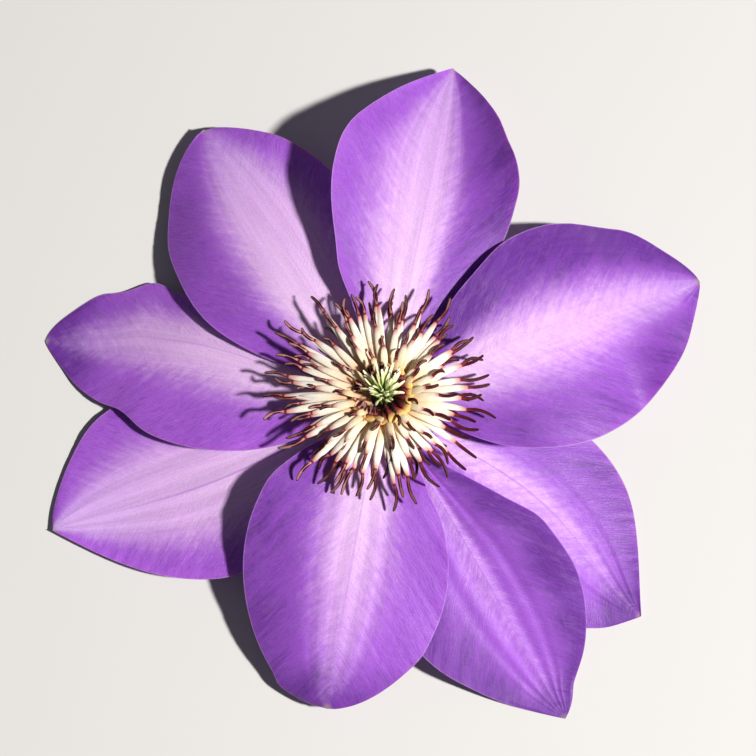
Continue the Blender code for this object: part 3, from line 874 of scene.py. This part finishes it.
straight_stamen = straight_strand("straight_stamen", 12, FILAMENT + ANTHER)
on_band = []
for vert in straight_stamen.data.vertices:
    on_band.append(float(SACS_FROM < vert.co.x < SACS_TO and abs(vert.co.y) < BAND_HALF_WIDTH))
    vert.co.z *= 1 - 0.5 * on_band[-1]
store(straight_stamen.data, "along", "FLOAT", "value", [v.co.x for v in straight_stamen.data.vertices])
store(straight_stamen.data, "band", "FLOAT", "value", on_band)
print("straight stamen:", len(straight_stamen.data.polygons), "faces")

# %% Filament and anther finish
# Colours along the filament of a ripe stamen and of a young one, and along the anther. The young filament
# is nearly black at its root, which is painted shade deep in the cup round the pistil.
CREAM = ((0.0, (0.60, 0.27, 0.06)), (0.22, (0.92, 0.56, 0.26)), (0.45, (0.97, 0.75, 0.48)),
         (0.72, (1.0, 0.93, 0.77)), (0.90, (1.0, 0.88, 0.76)), (1.0, (0.66, 0.22, 0.20)))
GOLD_AND_CUP_SHADE = ((0.0, (0.08, 0.015, 0.01)), (0.40, (0.34, 0.15, 0.03)), (0.66, (0.86, 0.58, 0.20)),
        (0.82, (0.84, 0.52, 0.16)), (1.0, (0.16, 0.03, 0.015)))
MAROON = ((0.0, (0.20, 0.018, 0.024)), (0.3, (0.075, 0.006, 0.011)), (1.0, (0.035, 0.003, 0.006)))
BAND = (0.84, 0.42, 0.36)
SHADE_PEACH = (0.70, 0.38, 0.24)      # painted shade: the inner half of the filaments on the bloom's left side, turned away from the light

filament_finish, tree, shader = new_material("filament", 0.6)
along = read(tree, "along")
ripe, young, ripe_and_shaded_side = add_node(tree, "SeparateXYZ", {0: read(tree, "traits_and_shade", "Vector")}).outputs
speckle, mottle, grain_height = satin_grain(tree, 0.3 * MM)
cream = mix_colour(tree, young, colour_ramp(tree, along, CREAM), colour_ramp(tree, along, GOLD_AND_CUP_SHADE))
# Painted shade: on the side away from the light the inner part of each filament is tinted peach.
painted_shade = math_node(tree, "MULTIPLY", ripe_and_shaded_side, threshold(tree, along, 0.40, 0.85, 0.9, 0.0))
cream = mix_colour(tree, painted_shade, cream, SHADE_PEACH)
cream = tint(tree, cream, threshold(tree, mottle, 0.0, 1.0, 0.96, 1.02))

maroon = colour_ramp(tree, math_node(tree, "SUBTRACT", along, 1.0), MAROON)
banded = math_node(tree, "MULTIPLY", threshold(tree, read(tree, "band"), 0.45, 0.85), ripe)
maroon = mix_colour(tree, banded, maroon, BAND)
stamen_colour = mix_colour(tree, threshold(tree, along, 0.985, 1.02), cream, maroon)
stamen_colour = tint(tree, stamen_colour, threshold(tree, speckle, 0.0, 1.0, 0.95, 1.02))
tree.links.new(stamen_colour, shader.inputs["Base Color"])
add_bump(tree, shader, grain_height, 0.3, 0.1 * MM)
shader.inputs["Specular IOR Level"].default_value = 0.12
shader.inputs["Subsurface Weight"].default_value = 0.35
shader.inputs["Subsurface Radius"].default_value = (1.0, 0.8, 0.5)
shader.inputs["Subsurface Scale"].default_value = 0.6 * MM
straight_stamen.data.materials.append(filament_finish)
count_nodes("filament and anther", tree)

# %% [markdown]
# ## Placing the stamens
#
# The stamens stand in whorls round the pistil. The outer ones lean far out over the tepals, the inner ones
# are shorter, and the innermost are young and bend inwards, so that their dark anthers make a cup round the
# pistil. Each follows a curve from its root and strays a little: a seeded draw gives the same bloom every
# time. The solids have a collar that joins the roots. Here there is none, and the roots end a little above
# the receptacle, where the boss hides them.

# %% The whorls
# Outermost first: how many, where their roots are (radius, and height above the foot of the solids' collar),
# how steeply they rise (degrees), how far that rise carries, the radius and height at which they end, and the
# anthers' length. stout is their width as a share of the straight stamen's, and droop is how far the anthers'
# tips hang.
Whorl = namedtuple("Whorl", ("count root_radius root_height rise belly "
                             "tip_radius tip_height anther stout droop"))

WHORLS = (
    Whorl(34, 3.8, 0.5, 56, 8.4, 26.4, 3.0, 6.8, 1.0, 0.0),
    Whorl(30, 3.6, 0.9, 57, 8.2, 23.8, 3.8, 5.6, 1.0, 0.0),
    Whorl(18, 3.4, 1.2, 59, 8.1, 18.0, 5.0, 4.2, 0.95, 0.0),
    Whorl(13, 3.2, 1.5, 61, 7.9, 14.0, 6.2, 3.2, 0.95, 0.0),
    Whorl(9, 3.1, 1.8, 62, 7.4, 10.3, 7.0, 2.6, 0.95, 0.0),
    Whorl(22, 3.0, 2.0, 28, 8.6, 3.9, 6.0, 3.2, 1.45, 1.2),
)
FILLERS = Whorl(32, 3.7, 0.7, 53, 7.8, 20.5, 2.6, 4.6, 0.90, 0.0)   # narrower ones, below the others
COLLAR_BOTTOM = HEAD_TOP + 0.3 * MM   # the foot of the solids' collar
ANTHER_BEND = 0.12 * MM        # how far an anther may bend for each millimetre of its length
STRAY = 3.5                    # degrees that a tip may stray round the axis
ROOT_STRAY = 2                 # and a root
ROOT_UNEVEN = 0.2 * MM
TIP_DRAW = (0.88, 1.06)        # what a draw makes of the tip's radius, its height and the anther's length
HEIGHT_DRAW = (0.88, 1.12)
ANTHER_DRAW = (0.85, 1.15)
HOOK_RISE = (-1.0, 0.4)        # how far an anther's tip may curl down and up, in millimetres
WHORL_TURN = 0.4               # how far each whorl is turned against the last, as a share of its spacing
STAMEN_LEAN = Vector((-1.2, 1.1, 0)) * MM   # the tips lean a little away from the axis
BOSS_SLOPE = 0.09             # how steeply the boss of stamens slopes with the tepals
BOSS_AIM = 25                 # the azimuth at which it is highest
BOSS_LEVEL = -0.6             # its height at the axis, as a share of what the slope adds at its rim
SEED = 8
CURL = 1.6 * MM               # how far an anther's tip may curl to the side
CURL_SHARE = 0.22             # and the share of its length that it may


def stamen_path(whorl, azimuth, draw, curl, curling):
    """The curve that a stamen follows, from 0 at its root over 1 at the anther's foot to 2 at its tip."""
    root_height = COLLAR_BOTTOM + whorl.root_height * MM + draw.uniform(0, ROOT_UNEVEN)
    root = polar(whorl.root_radius * MM, azimuth, root_height)
    tip_radius = whorl.tip_radius * MM * draw.uniform(*TIP_DRAW)
    tip_height = COLLAR_BOTTOM + whorl.tip_height * MM * draw.uniform(*HEIGHT_DRAW)
    tip_height += BOSS_SLOPE * (math.cos(math.radians(azimuth - BOSS_AIM)) + BOSS_LEVEL) * tip_radius
    tip = polar(tip_radius, azimuth + draw.uniform(-STRAY, STRAY), tip_height) + STAMEN_LEAN
    rise = math.radians(whorl.rise)
    turn = root + polar(math.cos(rise), azimuth, math.sin(rise)) * whorl.belly * MM
    curve = (root, turn, tip)
    joint = 1 - whorl.anther * MM / (2 * (tip - turn).length) * draw.uniform(*ANTHER_DRAW)
    most = ANTHER_BEND * whorl.anther
    sideways = draw.uniform(-most, most)
    bend = polar(sideways, azimuth + 90, draw.uniform(0, most))
    curled = -math.copysign(curling, sideways) * curl.random() ** 2
    hook = polar(curled, azimuth + 90, curl.uniform(*HOOK_RISE) * MM)

    def path(x):
        t = joint * x if x < 1 else joint + (1 - joint) * (x - 1)
        past = max(x - 1, 0)
        droop = Vector((0, 0, -whorl.droop * MM * past**2))
        return AXIS + bezier(curve, t) + bend * math.sin(math.pi * min(past, 1)) + hook * past**3 + droop
    return path


# %% Make the stamens
RIPE_AND_SHADED_SIDE = 160               # the bloom's riper side, with the paler bands; it is turned from the light and gets painted peach shade
RIPE_DRAW = (0.3, 1.0)
STAMEN_TWIST = (-0.4, 0.4)    # radians from the root to the anther's foot
draw = random.Random(SEED)
curl = random.Random(SEED + 1)
stamens = []
for row, whorl in enumerate(WHORLS + (FILLERS,)):
    for k in range(whorl.count):
        azimuth = 360 * (k + row * WHORL_TURN) / whorl.count + draw.uniform(-ROOT_STRAY, ROOT_STRAY)
        path = stamen_path(whorl, azimuth, draw, curl, min(CURL, whorl.anther * CURL_SHARE * MM))
        crosswise = polar(1, azimuth + 90)
        stamen = bent_copy(straight_stamen, path, crosswise, curl.uniform(*STAMEN_TWIST), whorl.stout)
        # How near a stamen is to the side away from the light, which has the ripe bands and the painted
        # shade.
        ripe_and_shaded_side = 0.5 + 0.5 * math.cos(math.radians(azimuth - RIPE_AND_SHADED_SIDE))
        ripe = curl.uniform(*RIPE_DRAW) * ripe_and_shaded_side
        young = row / (len(WHORLS) - 1) if whorl in WHORLS else 0
        traits_and_shade = [(ripe, young ** 2, ripe_and_shaded_side ** 2)] * len(stamen.data.vertices)
        store(stamen.data, "traits_and_shade", "FLOAT_VECTOR", "vector", traits_and_shade)
        stamens.append(stamen)
settle(join(stamens, "stamens_piece"), "stamens")
bpy.data.objects.remove(straight_stamen)

# %% [markdown]
# ## The pistil
#
# The styles are a tuft of pale green ribbons with cream tips, which stand close together and then lean out
# and curl over. They are spread like the seeds of a sunflower, the outer ones leaning further out.

# %% The straight style
STYLE = tuple(Ring(at, width * MM, depth * MM) for at, width, depth in (
    (0.0, 0.45, 0.45), (0.2, 0.42, 0.38), (0.4, 0.46, 0.36), (0.6, 0.56, 0.32), (0.72, 0.66, 0.28),
    (0.84, 0.76, 0.26), (0.93, 0.74, 0.26), (0.98, 0.56, 0.24), (1.0, 0.34, 0.20)))
STYLE_COLOURS = ((0.0, (0.08, 0.11, 0.015)), (0.40, (0.24, 0.34, 0.06)), (0.66, (0.56, 0.66, 0.22)),
                 (0.86, (0.84, 0.87, 0.46)), (1.0, (0.96, 0.93, 0.70)))
straight_style = straight_strand("straight_style", 8, STYLE)
store(straight_style.data, "along", "FLOAT", "value", [v.co.x for v in straight_style.data.vertices])

style_finish, tree, shader = new_material("style", 0.5)
speckle, _, grain_height = satin_grain(tree, 0.25 * MM)
green = colour_ramp(tree, read(tree, "along"), STYLE_COLOURS)
tree.links.new(tint(tree, green, threshold(tree, speckle, 0.0, 1.0, 0.88, 1.05)), shader.inputs["Base Color"])
add_bump(tree, shader, grain_height, 0.3, 0.1 * MM)
straight_style.data.materials.append(style_finish)
count_nodes("style", tree)

# %% The path of a style
COLUMN_TOP = COLLAR_BOTTOM + 3.4 * MM
STYLE_RING = 1.7 * MM          # where the outermost styles stand in the column
STYLE_ROOTS = (1.0 * MM, 1.6 * MM)
STYLE_TURN = 29.0 * MM         # the height up to which the styles stand close together
STYLE_SPREAD = 4.4 * MM        # how far the outermost ones then lean out
STYLE_TOP = 33.6 * MM
STYLE_DROP = 2.2 * MM          # how much lower the outermost ones end
STYLE_UNEVEN = 1.0 * MM
STYLE_LEAN = Vector((-0.2, 2.0, 0)) * MM
LEAN_DRAW = (0.8, 1.1)
STYLE_STRAY = 12
HOOK = (1.1 * MM, -1.1 * MM)   # the curled tip's reach outwards and upwards
HOOK_STRAY = 50
WAVE = 0.6 * MM               # how far a style winds from side to side
GOLDEN_ANGLE = 137.5


def style_path(number, count, draw, turn_height):
    """The curve that a style follows, from 0 at its root to 1 at its tip."""
    share = math.sqrt((number + 0.5) / count)
    azimuth = GOLDEN_ANGLE * number
    root = polar(STYLE_RING * share, azimuth, COLUMN_TOP - draw.uniform(*STYLE_ROOTS))
    turn = polar(STYLE_RING * share, azimuth, turn_height)
    lean = STYLE_SPREAD * share * draw.uniform(*LEAN_DRAW)
    height = STYLE_TOP - STYLE_DROP * share**2 - draw.uniform(0.0, STYLE_UNEVEN)
    top = polar(lean, azimuth + draw.uniform(-STYLE_STRAY, STYLE_STRAY), height) + STYLE_LEAN
    hook = polar(HOOK[0], azimuth + draw.uniform(-HOOK_STRAY, HOOK_STRAY), HOOK[1] * share)
    wave = polar(draw.uniform(-WAVE, WAVE), azimuth + 90)
    curve = (root, turn + (turn - root) * 0.3, top)

    def path(x):
        x = max(x, 0)
        return AXIS + bezier(curve, x) + hook * x**4 + wave * math.sin(2 * math.pi * x) * x
    return path


# %% Make the styles
TUFTS = ((30, STYLE_TURN), (12, STYLE_TURN - 1.2 * MM))   # how many styles, and the height at which they part
STYLE_TWIST = (0.4, 1.4)                                  # radians from the root to the tip
draw = random.Random(SEED)
styles = []
for count, turn_height in TUFTS:
    for number in range(count):
        path = style_path(number, count, draw, turn_height)
        crosswise = polar(1, GOLDEN_ANGLE * number + 90)
        styles.append(bent_copy(straight_style, path, crosswise, draw.uniform(*STYLE_TWIST)))

# %% [markdown]
# ## The column
#
# The styles stand on a small domed column, which is rooted in the receptacle inside the whorls of stamens.
# On a real bloom silky hairs hide it. It is rough, and painted dark brown as the shade deep in the cup: a
# sphere with its lower half pulled down into a straight wall.

# %% The column and its finish
COLUMN_RADIUS = 2.0 * MM
DOME_HEIGHT = 1.6 * MM
SHADED_BROWNS = ((0.05, 0.02, 0.01), (0.16, 0.10, 0.04))

deselect()
bpy.ops.mesh.primitive_uv_sphere_add(segments=24, ring_count=12, radius=COLUMN_RADIUS)
column = bpy.context.object
column.name = "column"
for vert in column.data.vertices:
    if vert.co.z < 0:
        vert.co.z = (COLLAR_BOTTOM - COLUMN_TOP) * -vert.co.z / COLUMN_RADIUS
        wall = COLUMN_RADIUS / max(vert.co.xy.length, 0.1 * MM)
        vert.co.xy *= min(wall, 1 + 0.2 * wall)
    else:
        vert.co.z *= DOME_HEIGHT / COLUMN_RADIUS
    vert.co += AXIS + Vector((0, 0, COLUMN_TOP - DOME_HEIGHT))
bpy.ops.object.shade_smooth()
column_finish, tree, shader = new_material("column", 0.8)
speckle, _, grain_height = satin_grain(tree, 0.3 * MM)
tree.links.new(mix_colour(tree, speckle, *SHADED_BROWNS), shader.inputs["Base Color"])
add_bump(tree, shader, grain_height, 0.6, 0.2 * MM)
column.data.materials.append(column_finish)
settle(join(styles + [column], "pistil_piece"), "pistil")
bpy.data.objects.remove(straight_style)

# %% [markdown]
# ## The stalk
#
# The stub of stalk swells into the receptacle. It is extruded ring by ring like a strand, and then stood
# upright. A clematis stalk is ribbed, so shallow furrows are pressed in along it, which run out on the smooth
# receptacle.

# %% The stalk
STALK = tuple(Ring(at * MM, width * MM, width * MM) for at, width in (
    (1.2, 2.4), (3.0, 2.4), (6.0, 2.3), (9.0, 2.4), (11.5, 2.7), (12.8, 3.8), (13.8, 5.6), (14.8, 7.2),
    (16.0, 7.9), (18.0, 8.0), (19.6, 7.8), (20.5, 7.2)))
FURROWS = 6
FURROW_DEPTH = 0.09         # as a share of the radius
RECEPTACLE = (11.0, 13.5)   # where the furrows run out, in millimetres from the surface

stalk = straight_strand("stalk_piece", 8 * FURROWS, STALK)
for vert in stalk.data.vertices:
    turn = math.atan2(vert.co.z, vert.co.y)
    furrow = FURROW_DEPTH * (1 - smoothstep(*RECEPTACLE, vert.co.x / MM))
    vert.co.yz = vert.co.yz * (1 - furrow * (0.5 - 0.5 * math.cos(FURROWS * turn)))
stalk.data.transform(Matrix.Translation(AXIS) @ Matrix.Rotation(-math.pi / 2, 4, "Y"))

# %% The stalk's finish
GREENS = ((0.10, 0.17, 0.04), (0.20, 0.22, 0.09))
BLUSH = (0.16, 0.09, 0.10)

stalk_finish, tree, shader = new_material("stalk", 0.6)
speckle, mottle, grain_height = satin_grain(tree, 0.4 * MM)
green = mix_colour(tree, speckle, *GREENS)
green = mix_colour(tree, threshold(tree, mottle, 0.4, 0.9, 0.0, 0.5), green, BLUSH)
add_bump(tree, shader, grain_height, 0.4, 0.15 * MM)
tree.links.new(green, shader.inputs["Base Color"])
stalk.data.materials.append(stalk_finish)
settle(stalk, "stalk")
